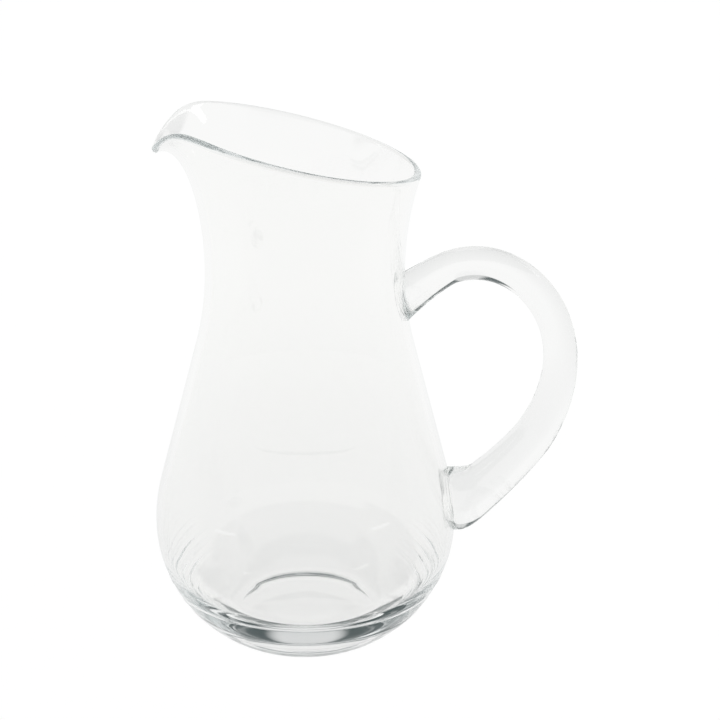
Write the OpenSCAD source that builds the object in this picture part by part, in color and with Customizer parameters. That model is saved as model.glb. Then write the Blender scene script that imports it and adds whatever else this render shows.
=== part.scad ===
// Blown glass pitcher with a pear-shaped bowl, a slanted mouth, a pulled spout and an applied handle.
// Millimetres. The pitcher stands on z = 0 about the Z axis, its handle towards +X and its spout towards -X.

/* [Bowl] */
// Outer radius of the belly at its widest
belly_r = 65; // [60:0.5:70]
// Height of the widest part of the belly
belly_z = 50.1; // [47:0.1:52]
// Radius of the outline's arc under the widest part
belly_low_arc = 57; // [55:0.5:62]
// Radius of the outline's arc over the widest part
belly_top_arc = 74; // [60:1:85]
// Rounding between the outside and the foot ring
heel_round = 13; // [9:0.5:16]
// Width of the flat foot ring
foot_w = 1.2; // [1:0.1:4]
// Depth of the hollow under the base
punt_depth = 0.25; // [0.1:0.05:1]
// Squareness of the hollow under the base, 2 for a dish
punt_square = 16; // [8:1:24]

/* [Neck and wall] */
// Outer radius of the neck at its narrowest
neck_r = 41.3; // [38:0.1:44]
// Height of the narrowest part of the neck
neck_z = 165.1; // [159:0.1:169]
// Radius of the hollow curve that runs from the shoulder to the mouth
neck_arc = 131; // [115:1:150]
// Thickness of the glass from the belly to the neck
wall = 2.8; // [2.2:0.1:3.5]
// Height of the inside floor over the table
floor_z = 8.1; // [6.5:0.1:10]
// Squareness of the inside of the bowl, 2 for an ellipse
bowl_square = 2.5; // [2.2:0.1:3]

/* [Mouth] */
// Height at which the mouth begins to open out of the neck
mouth_z = 173.1; // [170:0.1:177]
// Height of the rim on the axis, under its rounded lip
rim_mid_z = 214; // [209:0.1:219]
// Slope of the rim, low at the handle, in degrees
rim_tilt = 12.8; // [6:0.2:15]
// Thickness of the rounded lip
lip_t = 3.4; // [2.8:0.1:4]

/* [Spout] */
// Distance of the spout's tip from the axis, under its rounded lip
spout_reach = 58.7; // [56:0.1:63]
// Height of the spout's tip, under its rounded lip
spout_tip_z = 212.6; // [208:0.1:215]
// Distance from the axis of the point that bends the spout outwards
spout_bend_r = 48.5; // [46:0.5:51]
// Height of the point that bends the spout outwards
spout_bend_z = 218.1; // [214:0.1:221]
// Angle on each side over which the rim runs into the spout
spout_half = 46; // [38:1:55]

/* [Handle] */
// Radius of the rod in the upper half of the grip
grip_r = 6.95; // [6:0.05:8.5]
// Radius of the rod where it reaches the lower pad
root_r = 11; // [9:0.25:12]
// Height of the rod's upper end
rod_top_z = 152.1; // [150:0.1:154]
// How far the rod's upper half is pulled away from the neck
pull_top_out = 38; // [34:0.5:44]
// Height to which the rod's upper half is pulled
pull_top_z = 197.1; // [191:0.1:201]
// How far the rod's lower half is pulled away from the lower pad
pull_low_out = 81; // [72:0.5:90]
// Height to which the rod's lower half is pulled
pull_low_z = 120.6; // [115:0.1:125]
// Height of the middle of the upper pad
pad_top_z = 151.4; // [149:0.1:154]
// Half the height of the upper pad
pad_top_h = 10.5; // [9:0.1:12]
// Half the width of the upper pad
pad_top_w = 9; // [8:0.1:10]
// Height of the middle of the lower pad
pad_low_z = 58.1; // [55:0.1:61]
// Half the height of the lower pad
pad_low_h = 14.2; // [12.5:0.1:16]
// Half the width of the lower pad
pad_low_w = 12; // [11:0.1:14]
// Thickness of the lower pad
pad_low_t = 6; // [4:0.25:8]
// Gap left between the pads and the bowl
seat_gap = 0.05; // [0.05:0.05:0.3]

/* [Hidden] */
sides = 72;          // facets round the bowl
punt_steps = 5;      // facets out to the edge of the hollow under the base
heel_steps = 4;      // facets up each curve of the bowl's outline
low_steps = 8;
top_steps = 3;
neck_steps = 5;
floor_steps = 9;
mouth_steps = 10;    // sections up the mouth
lip_steps = 6;       // facets over the lip
rod_sides = 28;      // facets round the rod
rod_steps = 42;      // sections along the rod
corner_steps = 5;    // sections round the lower pad's edge
pad_rings = 3;       // rings on each pad's face
spout_lead = 20;     // height over which the spout still follows the neck
pull_power = 0.8;    // the pull outwards is wider than the spout
drop_power = 1.6;    // the drop of the rim is narrower than the spout
rod_start = 2;       // from the neck to the rod's upper end
top_blend = 0.14;    // share of the rod that spreads into the upper pad
low_blend = 0.16;    // share of the rod that spreads into the lower pad
low_round = 0.06;    // share of the rod that bends into the lower pad's side
side_round = 0.6;    // share of the lower pad's side that is in this bend
thin_share = 0.52;   // share of the rod that keeps the grip's radius
glass = [0.85, 0.9, 0.9, 0.5];

// The outline is four arcs that run on smoothly: the heel, two on the belly and the hollow of the neck.
low_c = [belly_r - belly_low_arc, belly_z];
top_c = [belly_r - belly_top_arc, belly_z];
neck_c = [neck_r + neck_arc, neck_z];
heel_c = [low_c[0] + sqrt(pow(belly_low_arc - heel_round, 2) - pow(belly_z - heel_round, 2)), heel_round];
heel_a = atan2(heel_c[1] - low_c[1], heel_c[0] - low_c[0]);
punt_r = heel_c[0] - foot_w;

// The straight shoulder touches the upper arc of the belly and the arc of the neck.
across = neck_c - top_c;
shoulder_a = atan2(across[1], across[0]) - acos((belly_top_arc + neck_arc) / norm(across));
shoulder_out = [cos(shoulder_a), sin(shoulder_a)];
shoulder_low = top_c + belly_top_arc * shoulder_out;
shoulder_top = neck_c - neck_arc * shoulder_out;
mouth_a = asin((neck_z - mouth_z) / neck_arc);

function mix(a, b, s) = a + (b - a) * s;
function unit(v) = v / norm(v);
function ease(x) = let (s = min(1, max(0, x))) s * s * (3 - 2 * s);
function bend(p, t) = pow(1 - t, 2) * p[0] + 2 * (1 - t) * t * p[1] + t * t * p[2];
function bezier(p, t) =
    pow(1 - t, 3) * p[0] + 3 * pow(1 - t, 2) * t * p[1] + 3 * (1 - t) * t * t * p[2] + pow(t, 3) * p[3];

// Outer radius of the round bowl at a height
function outer_r(z) =
    z < belly_z ? low_c[0] + sqrt(pow(belly_low_arc, 2) - pow(z - belly_z, 2)) :
    z < shoulder_low[1] ? top_c[0] + sqrt(pow(belly_top_arc, 2) - pow(z - belly_z, 2)) :
    z < shoulder_top[1] ? mix(shoulder_low[0], shoulder_top[0],
        (z - shoulder_low[1]) / (shoulder_top[1] - shoulder_low[1])) :
    neck_c[0] - sqrt(pow(neck_arc, 2) - pow(z - neck_z, 2));

// Points [r, z] on an arc from one angle to another, without the first one
function arc(c, r, from, to, n) = [for (i = [1 : n]) let (a = mix(from, to, i / n)) c + r * [cos(a), sin(a)]];

// The hollow under the base, flat in its middle, with its points crowded towards its rounded edge
function punt(s) = [punt_r * s, punt_depth * (1 - pow(s, punt_square))];
hollow = [for (i = [1 : punt_steps]) punt(pow(i / punt_steps, 1 / 4))];

// The bowl's outside from the foot ring up to the mouth
outside = concat([[heel_c[0], 0]],
    arc(heel_c, heel_round, -90, heel_a, heel_steps),
    arc(low_c, belly_low_arc, heel_a, 0, low_steps),
    arc(top_c, belly_top_arc, 0, shoulder_a, top_steps),
    [shoulder_top],
    arc(neck_c, -neck_arc, shoulder_a, mouth_a, neck_steps));

// The inside from the mouth down to the floor, a wall further in as far as the belly and heavier under it
inside = concat([neck_c - (neck_arc + wall) * [cos(mouth_a), sin(mouth_a)]],
    arc(neck_c, -(neck_arc + wall), mouth_a, shoulder_a, neck_steps),
    [shoulder_low - wall * shoulder_out],
    arc(top_c, belly_top_arc - wall, shoulder_a, 0, top_steps),
    [for (i = [1 : floor_steps - 1]) let (a = 90 * i / floor_steps)
        [(belly_r - wall) * pow(cos(a), 2 / bowl_square),
         belly_z - (belly_z - floor_z) * pow(sin(a), 2 / bowl_square)]]);

// The mouth: the neck's flare runs up to the slanted rim, and towards -X it bends into the spout.
function rim_z(a, n = 6) = n == 0 ? rim_mid_z : rim_mid_z - tan(rim_tilt) * cos(a) * outer_r(rim_z(a, n - 1));
mouth_r = outer_r(mouth_z);
spout_line = [[mouth_r, mouth_z], [mouth_r - spout_lead * tan(mouth_a), mouth_z + spout_lead],
    [spout_bend_r, spout_bend_z], [spout_reach, spout_tip_z]];
function spout_share(a) = ease(1 - abs(180 - a) / spout_half);
function mouth(a, v) =
    let (z = mix(mouth_z, rim_z(a), v))
    let (s = bezier(spout_line, v))
    let (r = mix(outer_r(z), s[0], pow(spout_share(a), pull_power)))
    [r * cos(a), r * sin(a), mix(z, s[1], pow(spout_share(a), drop_power))];
function mouth_up(a, v) = unit(mouth(a, v) - mouth(a, v - 0.01));
function mouth_out(a, v) = unit(cross(mouth(a + 0.5, v) - mouth(a - 0.5, v), mouth_up(a, v)));
function mouth_in(a, v) = mouth(a, v) - mix(wall, lip_t, ease(v)) * mouth_out(a, v);
function lip(a, b) =
    mouth(a, 1) + lip_t / 2 * ((cos(b) - 1) * mouth_out(a, 1) + sin(b) * mouth_up(a, 1));

// A skin over equal rings of points, each ring joined to the next one
function skin(rings, n) = [for (i = [0 : rings - 2]) for (k = [0 : n - 1])
    let (a = i * n + k, b = i * n + (k + 1) % n)
    each [[a, a + n, b], [b, a + n, b + n]]];
round_a = [for (k = [0 : sides - 1]) 360 * k / sides];
function turned(p) = [for (a = round_a) [p[0] * cos(a), p[0] * sin(a), p[1]]];

module body() {
    rows = concat(
        [for (p = concat(hollow, outside)) turned(p)],
        [for (i = [1 : mouth_steps]) [for (a = round_a) mouth(a, i / mouth_steps)]],
        [for (i = [1 : lip_steps]) [for (a = round_a) lip(a, 180 * i / lip_steps)]],
        [for (i = [mouth_steps - 1 : -1 : 1]) [for (a = round_a) mouth_in(a, i / mouth_steps)]],
        [for (p = inside) turned(p)]);
    points = concat([for (row = rows) each row], [[0, 0, floor_z]]);
    last = (len(rows) - 1) * sides;
    hollow_top = [for (k = [0 : sides - 1]) k];
    floor_fan = [for (k = [0 : sides - 1]) [last + k, len(points) - 1, last + (k + 1) % sides]];
    color(glass)
    polyhedron(points, concat([hollow_top], skin(len(rows), sides), floor_fan), convexity = 10);
}

// The rod's centre line in the plane y = 0, as [x, z], from the neck to the face of the lower pad
rod_top_x = outer_r(rod_top_z) + rod_start;
rod_low_x = outer_r(pad_low_z) + pad_low_t;
rod_line = [[rod_top_x, rod_top_z], [rod_top_x + pull_top_out, pull_top_z],
    [rod_low_x + pull_low_out, pull_low_z], [rod_low_x, pad_low_z]];
function rod_along(t) = unit(bezier(rod_line, t + 0.001) - bezier(rod_line, t - 0.001));
function rod_r(t) = mix(grip_r, root_r, pow(max(0, (t - thin_share) / (1 - thin_share)), 2));
function rod_point(t, a) =
    let (c = bezier(rod_line, t), d = rod_along(t), r = rod_r(t))
    [c[0] - r * cos(a) * d[1], r * sin(a), c[1] + r * cos(a) * d[0]];

// The rod spreads into an oval pad on the bowl at each end. The lower pad is a thick one.
function on_bowl(y, z) = [sqrt(pow(outer_r(z) + seat_gap, 2) - y * y), y, z];
function pad_top(a, s = 1) = on_bowl(s * pad_top_w * sin(a), pad_top_z + s * pad_top_h * cos(a));
function pad_low(a, s = 1) = on_bowl(s * pad_low_w * sin(a), pad_low_z - s * pad_low_h * cos(a));
function pad_low_face(a) = [rod_low_x, pad_low_w * sin(a), pad_low_z - pad_low_h * cos(a)];
function handle_point(t, a) = mix(
    mix(rod_point(t, a), pad_top(a), ease(1 - t / top_blend)),
    pad_low_face(a), ease(1 - (1 - t) / low_blend));
function pad_low_edge(a, s) =
    bend([handle_point(1 - low_round, a), pad_low_face(a), mix(pad_low_face(a), pad_low(a), side_round)], s);

module handle() {
    round_rod = [for (k = [0 : rod_sides - 1]) -360 * k / rod_sides];
    rows = concat(
        [for (i = [1 : pad_rings - 1]) [for (a = round_rod) pad_top(a, i / pad_rings)]],
        [for (i = [0 : rod_steps]) [for (a = round_rod) handle_point((1 - low_round) * i / rod_steps, a)]],
        [for (i = [1 : corner_steps]) [for (a = round_rod) pad_low_edge(a, i / corner_steps)]],
        [for (i = [pad_rings : -1 : 1]) [for (a = round_rod) pad_low(a, i / pad_rings)]]);
    points = concat([for (row = rows) each row], [pad_top(0, 0), pad_low(0, 0)]);
    last = (len(rows) - 1) * rod_sides;
    ends = [for (k = [0 : rod_sides - 1]) let (b = (k + 1) % rod_sides)
        each [[k, b, len(points) - 2], [last + k, len(points) - 1, last + b]]];
    color(glass)
    polyhedron(points, concat(skin(len(rows), rod_sides), ends), convexity = 6);
}

body();
handle();
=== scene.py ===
import math

import bpy
import numpy as np
from mathutils import Matrix


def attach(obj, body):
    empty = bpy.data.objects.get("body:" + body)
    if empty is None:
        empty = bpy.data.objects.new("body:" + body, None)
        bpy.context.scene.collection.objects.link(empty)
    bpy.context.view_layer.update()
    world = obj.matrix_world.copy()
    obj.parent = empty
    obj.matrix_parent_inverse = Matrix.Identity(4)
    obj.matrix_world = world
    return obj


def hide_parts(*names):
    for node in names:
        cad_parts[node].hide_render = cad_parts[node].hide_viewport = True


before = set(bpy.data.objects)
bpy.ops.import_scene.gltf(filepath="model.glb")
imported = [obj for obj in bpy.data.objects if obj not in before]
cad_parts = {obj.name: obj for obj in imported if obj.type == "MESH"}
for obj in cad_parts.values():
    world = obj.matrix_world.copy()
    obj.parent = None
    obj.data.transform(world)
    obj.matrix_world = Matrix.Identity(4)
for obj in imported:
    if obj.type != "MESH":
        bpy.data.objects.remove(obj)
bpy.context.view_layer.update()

bl_info = {
    "name": "Blown glass pitcher",
    "version": (1, 0, 0),
    "blender": (4, 5, 0),
    "location": "View3D > Sidebar > Pitcher",
    "description": "A blown glass pitcher with a slanted mouth, a pulled spout and an applied handle",
    "category": "Add Mesh",
}

# Light is led along the wall over many reflections before it leaves the glass.
BOUNCES = 200

# Ripples: heights in metres and shares of the X direction between which they fade, and two wave lengths.
RIPPLE_RISE = (0.008, 0.018)
RIPPLE_FALL = (0.024, 0.042)
RIPPLE_SIDE = (0.8, 0.95)
RIPPLE_LONG = 0.0043
RIPPLE_SHORT = 0.0027

# Waves of the blown glass: stretch along each axis, number in a metre, and height in metres.
WAVE_STRETCH = (1.0, 1.0, 0.35)
WAVE_SCALE = 38.0
WAVE_HEIGHT = 0.001

# The floor: half its side and its height in metres.
FLOOR_HALF = 6.0
FLOOR_Z = -0.0004

# The paper: share of light it throws back, strength of its glow, share of the glow that the camera sees,
# distance over which a painted shade through glass fades out from the foot, and depths between which a
# painted shade darkens it at the front.
PAPER_ALBEDO = 0.9
PAPER_GLOW = 1.045
CAMERA_SHARE = 0.95
PAINTED_SHADE_REACH = 0.5
FRONT_SHADE_DEPTHS = (-0.3, 0.05)

# The panels: direction of each in degrees about Z, and half the width of their soft edges.
PANEL_TURNS = {"back": 90.0, "right": 10.0, "left": 170.0, "front": 275.0}
SOFT_ANGLE = math.radians(5.0)
SOFT_HEIGHT = 0.05

# The two soft boxes: where each is, and the size of both in metres.
BOX_PLACES = {"soft_box_left": (-1.0, 0.0, 0.9), "soft_box_right": (1.0, 0.2, 0.9)}
BOX_SIZE = (0.08, 0.45)

# The camera: width of its sensor in millimetres and nearest distance that it sees in metres.
SENSOR_WIDTH = 36.0
CLIP_START = 0.01


def length(name, description, default):
    """A property that holds a length in metres."""
    return bpy.props.FloatProperty(
        name=name, description=description, default=default, min=0.0, precision=5, unit="LENGTH"
    )


def angle(name, description, default):
    """A property that holds an angle, given here in degrees."""
    return bpy.props.FloatProperty(
        name=name, description=description, default=math.radians(default), subtype="ANGLE"
    )


def number(name, description, default):
    """A property that holds a plain number."""
    return bpy.props.FloatProperty(name=name, description=description, default=default)


def colour(name, description, default):
    """A property that holds a colour."""
    return bpy.props.FloatVectorProperty(
        name=name, description=description, default=default, size=3, min=0.0, max=1.0, subtype="COLOR"
    )


class BowlSizes(bpy.types.PropertyGroup):
    """Sizes of the blown bowl, its mouth and its spout"""

    belly_r: length("Belly radius", "Outer radius of the belly at its widest", 0.065)
    belly_z: length("Belly height", "Height of the widest part of the belly", 0.0501)
    belly_low_arc: length("Lower belly arc", "Radius of the outline under the widest part", 0.057)
    belly_top_arc: length("Upper belly arc", "Radius of the outline over the widest part", 0.074)
    heel_round: length("Heel rounding", "Rounding between the outside and the foot ring", 0.013)
    foot_w: length("Foot ring", "Width of the flat foot ring", 0.0012)
    punt_depth: length("Punt depth", "Depth of the hollow under the base", 0.00025)
    punt_square: number("Punt squareness", "Squareness of the hollow under the base, 2 for a bowl", 16.0)
    neck_r: length("Neck radius", "Outer radius of the neck at its narrowest", 0.0413)
    neck_z: length("Neck height", "Height of the narrowest part of the neck", 0.1651)
    neck_arc: length("Neck arc", "Radius of the hollow curve from the shoulder to the mouth", 0.131)
    wall: length("Wall", "Thickness of the glass from the belly to the neck", 0.0028)
    floor_z: length("Floor height", "Height of the inside floor", 0.0081)
    bowl_square: number("Bowl squareness", "Squareness of the inside of the bowl, 2 for an ellipse", 2.5)
    mouth_z: length("Mouth height", "Height at which the mouth begins to open", 0.1731)
    rim_mid_z: length("Rim height", "Height of the rim on the axis, under its lip", 0.214)
    rim_tilt: angle("Rim slope", "Slope of the rim, low at the handle", 12.8)
    lip_t: length("Lip", "Thickness of the rounded lip", 0.0034)
    spout_reach: length("Spout reach", "Distance of the spout's tip from the axis", 0.0587)
    spout_tip_z: length("Spout height", "Height of the spout's tip", 0.2126)
    spout_bend_r: length("Spout bend radius", "Distance of the point that bends the spout", 0.0485)
    spout_bend_z: length("Spout bend height", "Height of the point that bends the spout", 0.2181)
    spout_half: angle("Spout half width", "Angle on each side over which the rim runs into the spout", 46.0)
    spout_lead: length("Spout lead", "Height over which the spout still follows the neck", 0.020)
    pull_power: number("Pull power", "How wide the pull outwards is", 0.8)
    drop_power: number("Drop power", "How narrow the drop of the rim is", 1.6)
    ripple: length("Ripple", "Depth of the ripples on the two lower sides", 0.00015)


class HandleSizes(bpy.types.PropertyGroup):
    """Sizes of the applied handle"""

    grip_r: length("Grip radius", "Radius of the rod in the upper half of the grip", 0.00695)
    root_r: length("Root radius", "Radius of the rod where it reaches the lower pad", 0.011)
    rod_start: length("Rod start", "Distance from the neck to the rod's upper end", 0.002)
    rod_top_z: length("Rod height", "Height of the rod's upper end", 0.1521)
    pull_top_out: length("Upper pull", "How far the upper half is pulled out", 0.038)
    pull_top_z: length("Upper pull height", "Height to which the upper half is pulled", 0.1971)
    pull_low_out: length("Lower pull", "How far the lower half is pulled out", 0.081)
    pull_low_z: length("Lower pull height", "Height to which the lower half is pulled", 0.1206)
    pad_top_z: length("Upper pad height", "Height of the middle of the upper pad", 0.1514)
    pad_top_h: length("Upper pad half height", "Half the height of the upper pad", 0.0105)
    pad_top_w: length("Upper pad half width", "Half the width of the upper pad", 0.009)
    pad_low_z: length("Lower pad height", "Height of the middle of the lower pad", 0.0581)
    pad_low_h: length("Lower pad half height", "Half the height of the lower pad", 0.0142)
    pad_low_w: length("Lower pad half width", "Half the width of the lower pad", 0.012)
    pad_low_t: length("Lower pad thickness", "Thickness of the lower pad", 0.006)
    fuse: length("Fused depth", "How deep the pads are fused into the bowl", 0.0004)
    top_blend: number("Upper blend", "Share of the rod that spreads into the upper pad", 0.14)
    low_blend: number("Lower blend", "Share of the rod that spreads into the lower pad", 0.16)
    low_round: number("Lower bend", "Share of the rod that bends into the lower pad's side", 0.06)
    side_round: number("Side bend", "Share of the lower pad's side that is in this bend", 0.6)
    thin_share: number("Thin share", "Share of the rod that keeps the grip's radius", 0.52)


class GlassLook(bpy.types.PropertyGroup):
    """Look of the clear glass"""

    tint: colour("Tint", "Colour of the glass", (1.0, 1.0, 0.994))
    absorbed: colour("Absorption colour", "Colour that light takes on inside the glass", (0.0, 0.5, 0.55))
    density: number("Absorption density", "Strength of the absorption for each metre of glass", 0.15)
    ior: number("IOR", "Index of refraction of the glass", 1.52)
    wave: number("Waviness", "Strength of the soft waves on blown glass", 0.12)


class StudioSetup(bpy.types.PropertyGroup):
    """Camera, backdrop and light"""

    aim_z: length("Aim height", "Height of the point that the camera turns about", 0.1111)
    distance: length("Distance", "Distance of the camera from that point", 0.679825)
    elevation: angle("Elevation", "Height angle of the camera", 21.7277)
    pan: angle("Pan", "Turn of the camera to the side", -1.9538)
    tilt: angle("Tilt", "Turn of the camera upwards", 0.9222)
    roll: angle("Roll", "Turn of the camera about its line of sight", -0.2288)
    lens: number("Lens", "Focal length in millimetres", 80.0)
    white: colour("Backdrop", "Colour of the floor and the backdrop", (1.0, 1.0, 1.0))
    room: colour("Room", "Colour of the dim room round the white backdrop", (0.006, 0.03, 0.032))
    # Painted shade: these levels make the paper's glow, as seen through glass, darker under the foot than far
    # off, in place of the pitcher's shadow.
    painted_shade_near: number("Paper near", "Level of the paper under the foot, seen through glass", 0.77)
    painted_shade_far: number("Paper far", "Level of the paper far behind, seen through glass", 0.88)
    # Painted shade: the paper seen through glass is set darker far in front of the pitcher.
    painted_front_shade: number("Paper in front", "Share of that level far in front of the pitcher", 0.9)
    ring_top: number("Ring top", "Height of the direction at which the low white ring ends", 0.33)
    ring_level: number("Ring level", "Level of that ring", 0.95)
    back_half: angle("Back panel", "Half the width of the panel behind the pitcher", 14.0)
    back_top: number("Back panel top", "Height of the direction at which that panel ends", 0.88)
    back_level: number("Back panel level", "Level of that panel", 0.7)
    right_half: angle("Handle panel", "Half the width of the panel on the handle's side", 44.0)
    right_top: number("Handle panel top", "Height of the direction at which that panel ends", 0.57)
    right_level: number("Handle panel level", "Level of that panel", 0.95)
    left_half: angle("Spout panel", "Half the width of the panel on the spout's side", 25.0)
    left_top: number("Spout panel top", "Height of the direction at which that panel ends", 0.3)
    left_level: number("Spout panel level", "Level of that panel", 0.8)
    front_half: angle("Front panel", "Half the width of the panel on the camera's side", 60.0)
    front_top: number("Front panel top", "Height of the direction at which that panel ends", 0.55)
    front_level: number("Front panel level", "Level of that panel", 0.9)
    side_level: number("Side level", "Level of the two boxes at the sides", 1.8)


def ease(x):
    """3 x^2 - 2 x^3 between 0 and 1."""
    x = np.clip(x, 0.0, 1.0)
    return x * x * (3.0 - 2.0 * x)


def fade(x, ends):
    """An ease from 0 at the first of two ends to 1 at the second."""
    return ease((x - ends[0]) / (ends[1] - ends[0]))


def mix(a, b, s):
    """A straight blend from a to b."""
    return a + (b - a) * s


def unit(v):
    """Vectors of length 1, along the last axis."""
    return v / np.linalg.norm(v, axis=-1, keepdims=True)


def bezier(p, t):
    """A Bezier curve of three or four points at the parameters t, along a new last axis."""
    t = np.asarray(t, float)[..., None]
    s = 1.0 - t
    if len(p) == 3:
        return s * s * p[0] + 2.0 * s * t * p[1] + t * t * p[2]
    return s**3 * p[0] + 3.0 * s * s * t * p[1] + 3.0 * s * t * t * p[2] + t**3 * p[3]


def arc(centre, radius, start, stop, steps):
    """Points [r, z] on an arc, centre + radius (cos, sin), without the first one."""
    a = np.linspace(start, stop, steps + 1)[1:]
    return np.asarray(centre) + radius * np.stack([np.cos(a), np.sin(a)], -1)


def line(start, stop, steps):
    """Points on a straight line, without the first one."""
    return np.linspace(start, stop, steps + 1)[1:]


class Bowl:
    """The surface of the bowl: tangent arcs turned about Z, and a mouth that runs into a spout towards -X."""

    # Steps along each part of the outline, rounds that settle the rim, and small steps that give directions.
    PUNT_STEPS, FOOT_STEPS, HEEL_STEPS, LOW_STEPS = 40, 5, 20, 90
    TOP_STEPS, SHOULDER_STEPS, NECK_STEPS, FLOOR_STEPS = 12, 8, 20, 40
    RIM_ROUNDS = 6
    UP_STEP = 0.01
    TURN_STEP = math.radians(0.5)

    def __init__(self, s):
        self.s = s
        self.low_c = np.array([s.belly_r - s.belly_low_arc, s.belly_z])
        self.top_c = np.array([s.belly_r - s.belly_top_arc, s.belly_z])
        self.neck_c = np.array([s.neck_r + s.neck_arc, s.neck_z])
        run = math.sqrt((s.belly_low_arc - s.heel_round) ** 2 - (s.belly_z - s.heel_round) ** 2)
        self.heel_c = np.array([self.low_c[0] + run, s.heel_round])
        self.heel_a = math.atan2(*(self.heel_c - self.low_c)[::-1])
        across = self.neck_c - self.top_c
        reach = math.acos((s.belly_top_arc + s.neck_arc) / math.hypot(*across))
        self.shoulder_a = math.atan2(across[1], across[0]) - reach
        self.shoulder_out = np.array([math.cos(self.shoulder_a), math.sin(self.shoulder_a)])
        self.shoulder_low = self.top_c + s.belly_top_arc * self.shoulder_out
        self.shoulder_top = self.neck_c - s.neck_arc * self.shoulder_out
        self.mouth_a = math.asin((s.neck_z - s.mouth_z) / s.neck_arc)
        self.punt_r = self.heel_c[0] - s.foot_w

    def outer_r(self, z):
        """Outer radius at a height: the arc, line or hollow arc of the outline that lies at that height."""
        s, z = self.s, np.asarray(z, float)
        low = self.low_c[0] + np.sqrt(np.maximum(s.belly_low_arc**2 - (z - s.belly_z) ** 2, 0.0))
        top = self.top_c[0] + np.sqrt(np.maximum(s.belly_top_arc**2 - (z - s.belly_z) ** 2, 0.0))
        share = (z - self.shoulder_low[1]) / (self.shoulder_top[1] - self.shoulder_low[1])
        shoulder = mix(self.shoulder_low[0], self.shoulder_top[0], share)
        neck = self.neck_c[0] - np.sqrt(np.maximum(s.neck_arc**2 - (z - s.neck_z) ** 2, 0.0))
        above = np.where(z < self.shoulder_top[1], shoulder, neck)
        return np.where(z < s.belly_z, low, np.where(z < self.shoulder_low[1], top, above))

    def outside(self):
        """The outline [r, z] from the middle of the punt over foot, heel, belly and neck to the mouth."""
        s = self.s
        share = np.sin(line(0.0, math.pi / 2.0, self.PUNT_STEPS))
        punt = np.stack([self.punt_r * share, s.punt_depth * (1.0 - share**s.punt_square)], -1)
        return np.concatenate([
            punt,
            line(punt[-1], [self.heel_c[0], 0.0], self.FOOT_STEPS),
            arc(self.heel_c, s.heel_round, -math.pi / 2.0, self.heel_a, self.HEEL_STEPS),
            arc(self.low_c, s.belly_low_arc, self.heel_a, 0.0, self.LOW_STEPS),
            arc(self.top_c, s.belly_top_arc, 0.0, self.shoulder_a, self.TOP_STEPS),
            line(self.shoulder_low, self.shoulder_top, self.SHOULDER_STEPS),
            arc(self.neck_c, -s.neck_arc, self.shoulder_a, self.mouth_a, self.NECK_STEPS),
        ])

    def inside(self):
        """The outline [r, z] from the mouth down a wall further in, then on a superellipse to the floor."""
        s = self.s
        a = line(0.0, math.pi / 2.0, self.FLOOR_STEPS)[:-1]
        floor = np.stack([
            (s.belly_r - s.wall) * np.cos(a) ** (2.0 / s.bowl_square),
            s.belly_z - (s.belly_z - s.floor_z) * np.sin(a) ** (2.0 / s.bowl_square),
        ], -1)
        inner_low = self.shoulder_low - s.wall * self.shoulder_out
        inner_top = self.shoulder_top - s.wall * self.shoulder_out
        inner_arc = s.neck_arc + s.wall
        start = self.neck_c - inner_arc * np.array([math.cos(self.mouth_a), math.sin(self.mouth_a)])
        return np.concatenate([
            start[None],
            arc(self.neck_c, -inner_arc, self.mouth_a, self.shoulder_a, self.NECK_STEPS),
            line(inner_top, inner_low, self.SHOULDER_STEPS),
            arc(self.top_c, s.belly_top_arc - s.wall, self.shoulder_a, 0.0, self.TOP_STEPS),
            floor,
        ])

    def ripples(self, z, a):
        """Depth of the ripples on the lower sides: two sines of the height, each bent along the angle."""
        near = fade(z, RIPPLE_RISE) * (1.0 - fade(z, RIPPLE_FALL)) * fade(np.abs(np.cos(a)), RIPPLE_SIDE)
        long_bend = 2.1 * np.sin(a + 0.4) + 1.3 * np.sin(2.0 * a + 1.0)
        short_bend = 2.6 * np.sin(2.0 * a + 2.0) + 1.7 * np.sin(3.0 * a)
        long = np.sin(2.0 * math.pi * z / RIPPLE_LONG + long_bend)
        short = np.sin(2.0 * math.pi * z / RIPPLE_SHORT + short_bend)
        return self.s.ripple * near * (1.6 + long + 0.6 * short)

    def rim_z(self, a):
        """Height of the slanted rim: the plane through the axis that meets the flare, by repeated steps."""
        z = np.full_like(a, self.s.rim_mid_z)
        for _ in range(self.RIM_ROUNDS):
            z = self.s.rim_mid_z - math.tan(self.s.rim_tilt) * np.cos(a) * self.outer_r(z)
        return z

    def mouth(self, a, v):
        """A point at angle a and share v of the height: the flare, blended into the spout's Bezier line."""
        s = self.s
        a, v = np.broadcast_arrays(np.asarray(a, float), np.asarray(v, float))
        r0 = float(self.outer_r(s.mouth_z))
        spout = bezier(np.array([
            [r0, s.mouth_z],
            [r0 - s.spout_lead * math.tan(self.mouth_a), s.mouth_z + s.spout_lead],
            [s.spout_bend_r, s.spout_bend_z],
            [s.spout_reach, s.spout_tip_z],
        ]), v)
        share = ease(1.0 - np.abs(math.pi - a) / s.spout_half)
        z = mix(s.mouth_z, self.rim_z(a), v)
        r = mix(self.outer_r(z), spout[..., 0], share**s.pull_power)
        return np.stack([r * np.cos(a), r * np.sin(a), mix(z, spout[..., 1], share**s.drop_power)], -1)

    def mouth_up(self, a, v):
        """Direction up the mouth."""
        return unit(self.mouth(a, v) - self.mouth(a, v - self.UP_STEP))

    def mouth_out(self, a, v):
        """Direction out of the mouth's surface."""
        around = self.mouth(a + self.TURN_STEP, v) - self.mouth(a - self.TURN_STEP, v)
        return unit(np.cross(around, self.mouth_up(a, v)))

    def mouth_in(self, a, v):
        """The inner side: a wall inwards that grows to the lip's thickness."""
        thickness = mix(self.s.wall, self.s.lip_t, ease(v))
        return self.mouth(a, v) - thickness[..., None] * self.mouth_out(a, v)

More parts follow.
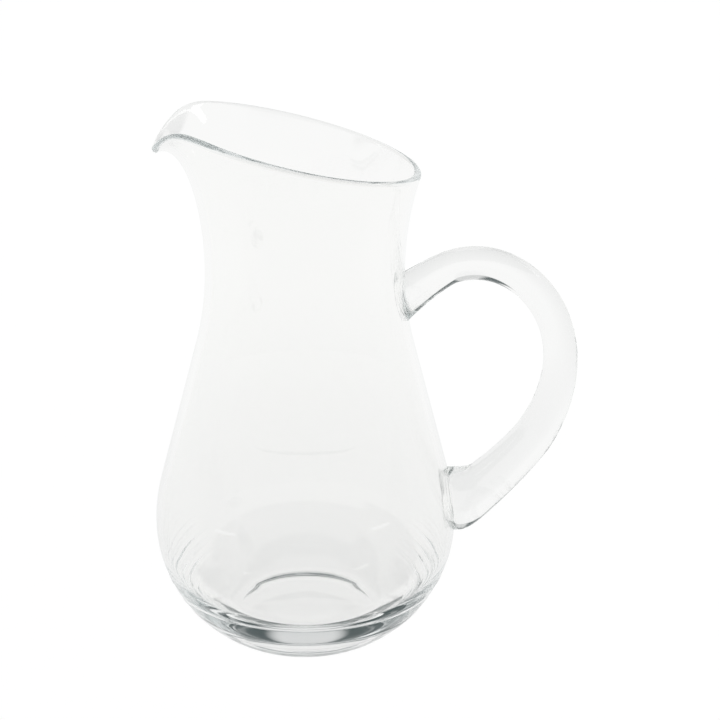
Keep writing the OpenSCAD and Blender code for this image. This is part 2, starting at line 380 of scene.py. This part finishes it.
    def lip(self, a, b):
        """The lip: half a circle over the wall, by the angle b from its outer to its inner side."""
        full = np.ones_like(a)
        edge, out, up = self.mouth(a, full), self.mouth_out(a, full), self.mouth_up(a, full)
        return edge + self.s.lip_t / 2.0 * ((np.cos(b) - 1.0)[..., None] * out + np.sin(b)[..., None] * up)

    def surface(self, sides=192, mouth_steps=40, lip_steps=16):
        """All rings of points from the middle of the punt, over the lip, to the middle of the floor."""
        a = np.arange(sides) * (2.0 * math.pi / sides)

        def turned(p, rippled=0.0):
            """Rings round Z from an outline [r, z], less a share of the ripples."""
            r, z, _ = np.broadcast_arrays(p[:, :1], p[:, 1:], a)
            r = r - rippled * self.ripples(z, a)
            return np.stack([r * np.cos(a), r * np.sin(a), z], -1)

        up_a, up = np.broadcast_arrays(a, line(0.0, 1.0, mouth_steps)[:, None])
        over_a, over = np.broadcast_arrays(a, line(0.0, math.pi, lip_steps)[:, None])
        rings = np.concatenate([
            turned(self.outside(), 1.0),
            self.mouth(up_a, up),
            self.lip(over_a, over),
            self.mouth_in(up_a[1:], up[:-1][::-1]),
            turned(self.inside()),
        ])
        return rings, np.array([0.0, 0.0, self.s.punt_depth]), np.array([0.0, 0.0, self.s.floor_z])


class Handle:
    """The surface of the handle: a round rod along a Bezier line, with a pad on the bowl at each end."""

    # A small step along the rod's line that gives its direction.
    LINE_STEP = 0.001

    def __init__(self, s, bowl):
        self.s, self.bowl = s, bowl
        top_x = float(bowl.outer_r(s.rod_top_z)) + s.rod_start
        self.low_x = float(bowl.outer_r(s.pad_low_z)) + s.pad_low_t
        self.rod_line = np.array([
            [top_x, s.rod_top_z],
            [top_x + s.pull_top_out, s.pull_top_z],
            [self.low_x + s.pull_low_out, s.pull_low_z],
            [self.low_x, s.pad_low_z],
        ])

    def on_bowl(self, y, z):
        """A point just under the bowl's outer face."""
        return np.stack([np.sqrt((self.bowl.outer_r(z) - self.s.fuse) ** 2 - y * y), y, z], -1)

    def pad_top(self, a, share=1.0):
        """The upper oval pad on the bowl."""
        s = self.s
        return self.on_bowl(share * s.pad_top_w * np.sin(a), s.pad_top_z + share * s.pad_top_h * np.cos(a))

    def pad_low(self, a, share=1.0):
        """The lower oval pad on the bowl."""
        s = self.s
        return self.on_bowl(share * s.pad_low_w * np.sin(a), s.pad_low_z - share * s.pad_low_h * np.cos(a))

    def pad_low_face(self, a):
        """The lower pad's oval, straight out from the bowl at its thickness."""
        s = self.s
        y, z = s.pad_low_w * np.sin(a), s.pad_low_z - s.pad_low_h * np.cos(a)
        return np.stack([np.full_like(a, self.low_x), y, z], -1)

    def rod(self, t, a):
        """Round rings square to the Bezier line, that grow towards the lower end."""
        s = self.s
        centre = bezier(self.rod_line, t)
        along = unit(bezier(self.rod_line, t + self.LINE_STEP) - bezier(self.rod_line, t - self.LINE_STEP))
        late = np.maximum(0.0, (t - s.thin_share) / (1.0 - s.thin_share))
        r = mix(s.grip_r, s.root_r, late**2)
        return np.stack([
            centre[..., 0] - r * np.cos(a) * along[..., 1],
            r * np.sin(a),
            centre[..., 1] + r * np.cos(a) * along[..., 0],
        ], -1)

    def point(self, t, a):
        """The rod, eased into the upper pad at its start and into the lower pad's face at its end."""
        s = self.s
        upper = mix(self.rod(t, a), self.pad_top(a), ease(1.0 - t / s.top_blend)[..., None])
        return mix(upper, self.pad_low_face(a), ease(1.0 - (1.0 - t) / s.low_blend)[..., None])

    def edge(self, a, v):
        """The bend from the rod into the lower pad's side: a Bezier curve of three points for each angle."""
        s = self.s
        face = self.pad_low_face(a)
        start = self.point(np.full_like(a, 1.0 - s.low_round), a)
        stop = mix(face, self.pad_low(a), s.side_round)
        return bezier((start, face, stop), v)

    def surface(self, sides=96, rod_steps=220, edge_steps=14, pad_rings=8):
        """All rings of points from the middle of the upper pad to the middle of the lower one."""
        a = -np.arange(sides) * (2.0 * math.pi / sides)
        share = np.arange(1, pad_rings + 1)[:, None] / pad_rings
        t = np.linspace(0.0, 1.0 - self.s.low_round, rod_steps + 1)[:, None]
        v = np.arange(1, edge_steps + 1)[:, None] / edge_steps

        def grid(column):
            """A column of values and the row of angles, as two whole arrays."""
            return np.broadcast_arrays(column, a)

        pad_share, pad_a = grid(share)
        rod_t, rod_a = grid(t)
        edge_v, edge_a = grid(v)
        rings = np.concatenate([
            self.pad_top(pad_a, pad_share)[:-1],
            self.point(rod_t, rod_a),
            self.edge(edge_a, edge_v),
            self.pad_low(pad_a, pad_share)[::-1],
        ])
        zero = np.zeros(1)
        return rings, self.pad_top(zero, 0.0)[0], self.pad_low(zero, 0.0)[0]


def skin(name, rings, start, stop):
    """A closed mesh over equal rings of points: quads between the rings and a fan to a point at each end."""
    rows, sides = rings.shape[:2]
    points = np.concatenate([rings.reshape(-1, 3), start[None], stop[None]])
    k = np.arange(sides)
    nxt = (k + 1) % sides
    base = (np.arange(rows - 1) * sides)[:, None]
    quads = np.stack([base + k, base + nxt, base + sides + nxt, base + sides + k], -1).reshape(-1, 4)
    last = (rows - 1) * sides
    first_fan = np.stack([nxt, k, np.full(sides, rows * sides)], -1)
    last_fan = np.stack([last + k, last + nxt, np.full(sides, rows * sides + 1)], -1)
    mesh = bpy.data.meshes.new(name)
    mesh.from_pydata(points.tolist(), [], quads.tolist() + first_fan.tolist() + last_fan.tolist())
    mesh.polygons.foreach_set("use_smooth", np.ones(len(mesh.polygons), bool))
    mesh.update()
    if mesh.validate():
        raise RuntimeError(f"{name} has faces that are not valid")
    piece = bpy.data.objects.new(name, mesh)
    bpy.context.scene.collection.objects.link(piece)
    return piece


class Socket:
    """A number in a node tree. A product or the larger of two adds a Math node."""

    def __init__(self, shader, socket):
        self.shader, self.socket = shader, socket

    def math(self, operation, first, second):
        return self.shader.node("ShaderNodeMath", {"operation": operation}, {0: first, 1: second})[0]

    def __mul__(self, other):
        return self.math("MULTIPLY", self, other)

    def most(self, other):
        return self.math("MAXIMUM", self, other)


class Shader:
    """A node tree that is being filled."""

    def __init__(self, owner):
        owner.use_nodes = True
        self.tree = owner.node_tree
        self.tree.nodes.clear()

    def node(self, kind, settings=None, values=None):
        """Adds a node, sets its settings, then its sockets' values or links, and gives back its outputs."""
        node = self.tree.nodes.new(kind)
        for key, value in (settings or {}).items():
            setattr(node, key, value)
        for key, value in (values or {}).items():
            if isinstance(value, Socket):
                self.tree.links.new(value.socket, node.inputs[key])
            else:
                node.inputs[key].default_value = value
        return Outputs(self, node)

    def vector(self, operation, first, second=None):
        """Adds a Vector Math node."""
        values = {0: first} if second is None else {0: first, 1: second}
        return self.node("ShaderNodeVectorMath", {"operation": operation}, values)

    def smooth(self, value, start, stop, low=0.0, high=1.0):
        """A smooth step of a value, from low at start to high at stop."""
        settings = {"interpolation_type": "SMOOTHSTEP"}
        values = {"Value": value, "From Min": start, "From Max": stop, "To Min": low, "To Max": high}
        return self.node("ShaderNodeMapRange", settings, values)["Result"]


class Outputs:
    """The output sockets of a node, by name or number."""

    def __init__(self, shader, node):
        self.shader, self.node = shader, node

    def __getitem__(self, key):
        return Socket(self.shader, self.node.outputs[key])


def clear_glass(look):
    """Clear blown glass: soft waves drawn out along Z, and a faint absorption."""
    name = "clear_glass_blown"
    material = bpy.data.materials.get(name)
    if material:
        return material
    material = bpy.data.materials.new(name)
    shader = Shader(material)
    place = shader.node("ShaderNodeTexCoord")["Object"]
    drawn = shader.node("ShaderNodeMapping", None, {"Vector": place, "Scale": WAVE_STRETCH})["Vector"]
    waves = shader.node("ShaderNodeTexNoise", None, {
        "Vector": drawn,
        "Scale": WAVE_SCALE,
        "Detail": 1.0,
        "Roughness": 0.4,
    })["Fac"]
    bump = shader.node("ShaderNodeBump", None, {
        "Strength": look.wave,
        "Distance": WAVE_HEIGHT,
        "Height": waves,
    })["Normal"]
    glass = shader.node("ShaderNodeBsdfPrincipled", None, {
        "Base Color": (*look.tint, 1.0),
        "Roughness": 0.0,
        "IOR": look.ior,
        "Transmission Weight": 1.0,
        "Normal": bump,
    })["BSDF"]
    inside = shader.node("ShaderNodeVolumeAbsorption", None, {
        "Color": (*look.absorbed, 1.0),
        "Density": look.density,
    })["Volume"]
    shader.node("ShaderNodeOutputMaterial", None, {"Surface": glass, "Volume": inside})
    return material


def backdrop_white_painted_shade(setup):
    """The floor: paper that glows, white to the camera, with a painted shade through the glass that dims it
    towards the foot and at the front.
    """
    material = bpy.data.materials.new("backdrop_white_painted_shade")
    shader = Shader(material)
    rays = shader.node("ShaderNodeLightPath")
    glass_rays = rays["Is Glossy Ray"].most(rays["Is Transmission Ray"])
    place = shader.node("ShaderNodeTexCoord")["Object"]
    reach = shader.vector("LENGTH", place)["Value"]
    depth = shader.node("ShaderNodeSeparateXYZ", None, {0: place})["Y"]
    # Painted shade: the glow that glass rays see is darker near the foot and lighter further off.
    level = shader.smooth(reach, 0.0, PAINTED_SHADE_REACH, setup.painted_shade_near, setup.painted_shade_far)
    # Painted shade: the same glow is made darker towards the front.
    level = level * shader.smooth(depth, *FRONT_SHADE_DEPTHS, setup.painted_front_shade, 1.0)
    glow_and_painted_shade = (rays["Is Camera Ray"] * CAMERA_SHARE).most(glass_rays * level)
    dim_white = (*(PAPER_ALBEDO * np.array(setup.white)), 1.0)
    paper = shader.node("ShaderNodeBsdfDiffuse", None, {"Color": dim_white})["BSDF"]
    light = shader.node("ShaderNodeEmission", None, {
        "Color": (*setup.white, 1.0),
        "Strength": PAPER_GLOW,
    })["Emission"]
    mixed = shader.node("ShaderNodeMixShader", None, {0: glow_and_painted_shade, 1: paper, 2: light})["Shader"]
    shader.node("ShaderNodeOutputMaterial", None, {"Surface": mixed})
    return material


class PITCHER_OT_body(bpy.types.Operator):
    """Make the blown bowl with its mouth and spout"""

    bl_idname = "pitcher.body"
    bl_label = "Blown bowl"

    def execute(self, context):
        piece = skin("blown_bowl", *Bowl(context.scene.pitcher_bowl).surface())
        piece.data.materials.append(clear_glass(context.scene.pitcher_glass))
        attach(piece, "root")
        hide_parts("body")
        return {"FINISHED"}


class PITCHER_OT_handle(bpy.types.Operator):
    """Make the applied handle"""

    bl_idname = "pitcher.handle"
    bl_label = "Applied handle"

    def execute(self, context):
        bowl = Bowl(context.scene.pitcher_bowl)
        piece = skin("applied_handle", *Handle(context.scene.pitcher_handle, bowl).surface())
        piece.data.materials.append(clear_glass(context.scene.pitcher_glass))
        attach(piece, "root")
        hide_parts("handle")
        return {"FINISHED"}


class PITCHER_OT_stage(bpy.types.Operator):
    """Make the floor, the soft light and the camera"""

    bl_idname = "pitcher.stage"
    bl_label = "Stage"

    def execute(self, context):
        scene, setup = context.scene, context.scene.pitcher_studio
        self.floor(scene, setup)
        self.light(scene, setup)
        self.camera(scene, setup)
        scene.view_settings.view_transform = "Standard"
        return {"FINISHED"}

    def floor(self, scene, setup):
        """A plain square floor, just under the foot ring."""
        signs = ((-1.0, -1.0), (1.0, -1.0), (1.0, 1.0), (-1.0, 1.0))
        corners = [(x * FLOOR_HALF, y * FLOOR_HALF, FLOOR_Z) for x, y in signs]
        mesh = bpy.data.meshes.new("floor")
        mesh.from_pydata(corners, [], [(0, 1, 2, 3)])
        mesh.materials.append(backdrop_white_painted_shade(setup))
        floor = bpy.data.objects.new("floor", mesh)
        scene.collection.objects.link(floor)

    def light(self, scene, setup):
        """A dim room with a low white ring and four white panels, white to the camera, and two soft boxes."""
        world = bpy.data.worlds.new("studio")
        scene.world = world
        shader = Shader(world)
        place = shader.node("ShaderNodeTexCoord")["Generated"]
        height = shader.node("ShaderNodeSeparateXYZ", None, {0: place})["Z"]
        flat = shader.vector("MULTIPLY", place, (1.0, 1.0, 0.0))["Vector"]
        heading = shader.vector("NORMALIZE", flat)["Vector"]

        def below(top, level):
            """A level under a height, with a soft edge."""
            return shader.smooth(height, top - SOFT_HEIGHT, top + SOFT_HEIGHT, level, 0.0)

        lit = below(setup.ring_top, setup.ring_level)
        for side, turn in PANEL_TURNS.items():
            half, top, level = (getattr(setup, f"{side}_{key}") for key in ("half", "top", "level"))
            axis = (math.cos(math.radians(turn)), math.sin(math.radians(turn)), 0.0)
            facing = shader.vector("DOT_PRODUCT", heading, axis)["Value"]
            ends = math.cos(half + SOFT_ANGLE), math.cos(half - SOFT_ANGLE)
            lit = lit.most(shader.smooth(facing, *ends, 0.0, level) * below(top, 1.0))
        white_share = shader.node("ShaderNodeLightPath")["Is Camera Ray"].most(lit)
        room = shader.node("ShaderNodeBackground", None, {"Color": (*setup.room, 1.0)})[0]
        tent = shader.node("ShaderNodeBackground", None, {"Color": (*setup.white, 1.0)})[0]
        surround = shader.node("ShaderNodeMixShader", None, {0: white_share, 1: room, 2: tent})
        shader.node("ShaderNodeOutputWorld", None, {"Surface": surround[0]})
        for name, spot in BOX_PLACES.items():
            lamp = bpy.data.lights.new(name, "AREA")
            lamp.shape = "RECTANGLE"
            lamp.size, lamp.size_y = BOX_SIZE
            lamp.energy = setup.side_level * math.pi * lamp.size * lamp.size_y
            box = bpy.data.objects.new(name, lamp)
            back = unit(np.array(spot) - np.array([0.0, 0.0, setup.aim_z]))
            right = unit(np.cross([0.0, 0.0, 1.0], back))
            pose = np.eye(4)
            pose[:3, :3] = np.stack([right, np.cross(back, right), back], -1)
            pose[:3, 3] = spot
            box.matrix_world = Matrix(pose.tolist())
            scene.collection.objects.link(box)

    def camera(self, scene, setup):
        """A camera on a circle round the pitcher, panned, tilted and rolled a little to frame it."""
        e = setup.elevation
        back = np.array([0.0, -math.cos(e), math.sin(e)])
        axes = np.stack([[1.0, 0.0, 0.0], [0.0, math.sin(e), math.cos(e)], back], -1)
        turn = Matrix.Rotation(setup.pan, 3, "Y")
        turn = turn @ Matrix.Rotation(setup.tilt, 3, "X") @ Matrix.Rotation(setup.roll, 3, "Z")
        pose = np.eye(4)
        pose[:3, :3] = axes @ np.array(turn)
        pose[:3, 3] = np.array([0.0, 0.0, setup.aim_z]) + setup.distance * back
        data = bpy.data.cameras.new("camera")
        data.lens, data.sensor_width, data.clip_start = setup.lens, SENSOR_WIDTH, CLIP_START
        camera = bpy.data.objects.new("camera", data)
        camera.matrix_world = Matrix(pose.tolist())
        scene.collection.objects.link(camera)
        scene.camera = camera


class PITCHER_PT_panel(bpy.types.Panel):
    """Sizes, looks and buttons of the pitcher"""

    bl_idname = "PITCHER_PT_panel"
    bl_label = "Glass pitcher"
    bl_space_type = "VIEW_3D"
    bl_region_type = "UI"
    bl_category = "Pitcher"

    def draw(self, context):
        for operator in OPERATORS:
            self.layout.operator(operator.bl_idname)
        for group in GROUPS:
            box = self.layout.box()
            box.label(text=GROUPS[group].__doc__)
            settings = getattr(context.scene, group)
            for key in GROUPS[group].__annotations__:
                box.prop(settings, key)


GROUPS = {
    "pitcher_bowl": BowlSizes,
    "pitcher_handle": HandleSizes,
    "pitcher_glass": GlassLook,
    "pitcher_studio": StudioSetup,
}
OPERATORS = (PITCHER_OT_body, PITCHER_OT_handle, PITCHER_OT_stage)


def register():
    for cls in (*GROUPS.values(), *OPERATORS, PITCHER_PT_panel):
        bpy.utils.register_class(cls)
    for key, cls in GROUPS.items():
        setattr(bpy.types.Scene, key, bpy.props.PointerProperty(type=cls))


def unregister():
    for key in GROUPS:
        delattr(bpy.types.Scene, key)
    for cls in (PITCHER_PT_panel, *reversed(OPERATORS), *reversed(GROUPS.values())):
        bpy.utils.unregister_class(cls)


def main():
    register()
    bpy.ops.pitcher.body()
    bpy.ops.pitcher.handle()
    bpy.ops.pitcher.stage()
    cycles = bpy.context.scene.cycles
    cycles.max_bounces = cycles.transmission_bounces = cycles.glossy_bounces = BOUNCES
    bpy.context.view_layer.update()


if __name__ == "__main__":
    main()
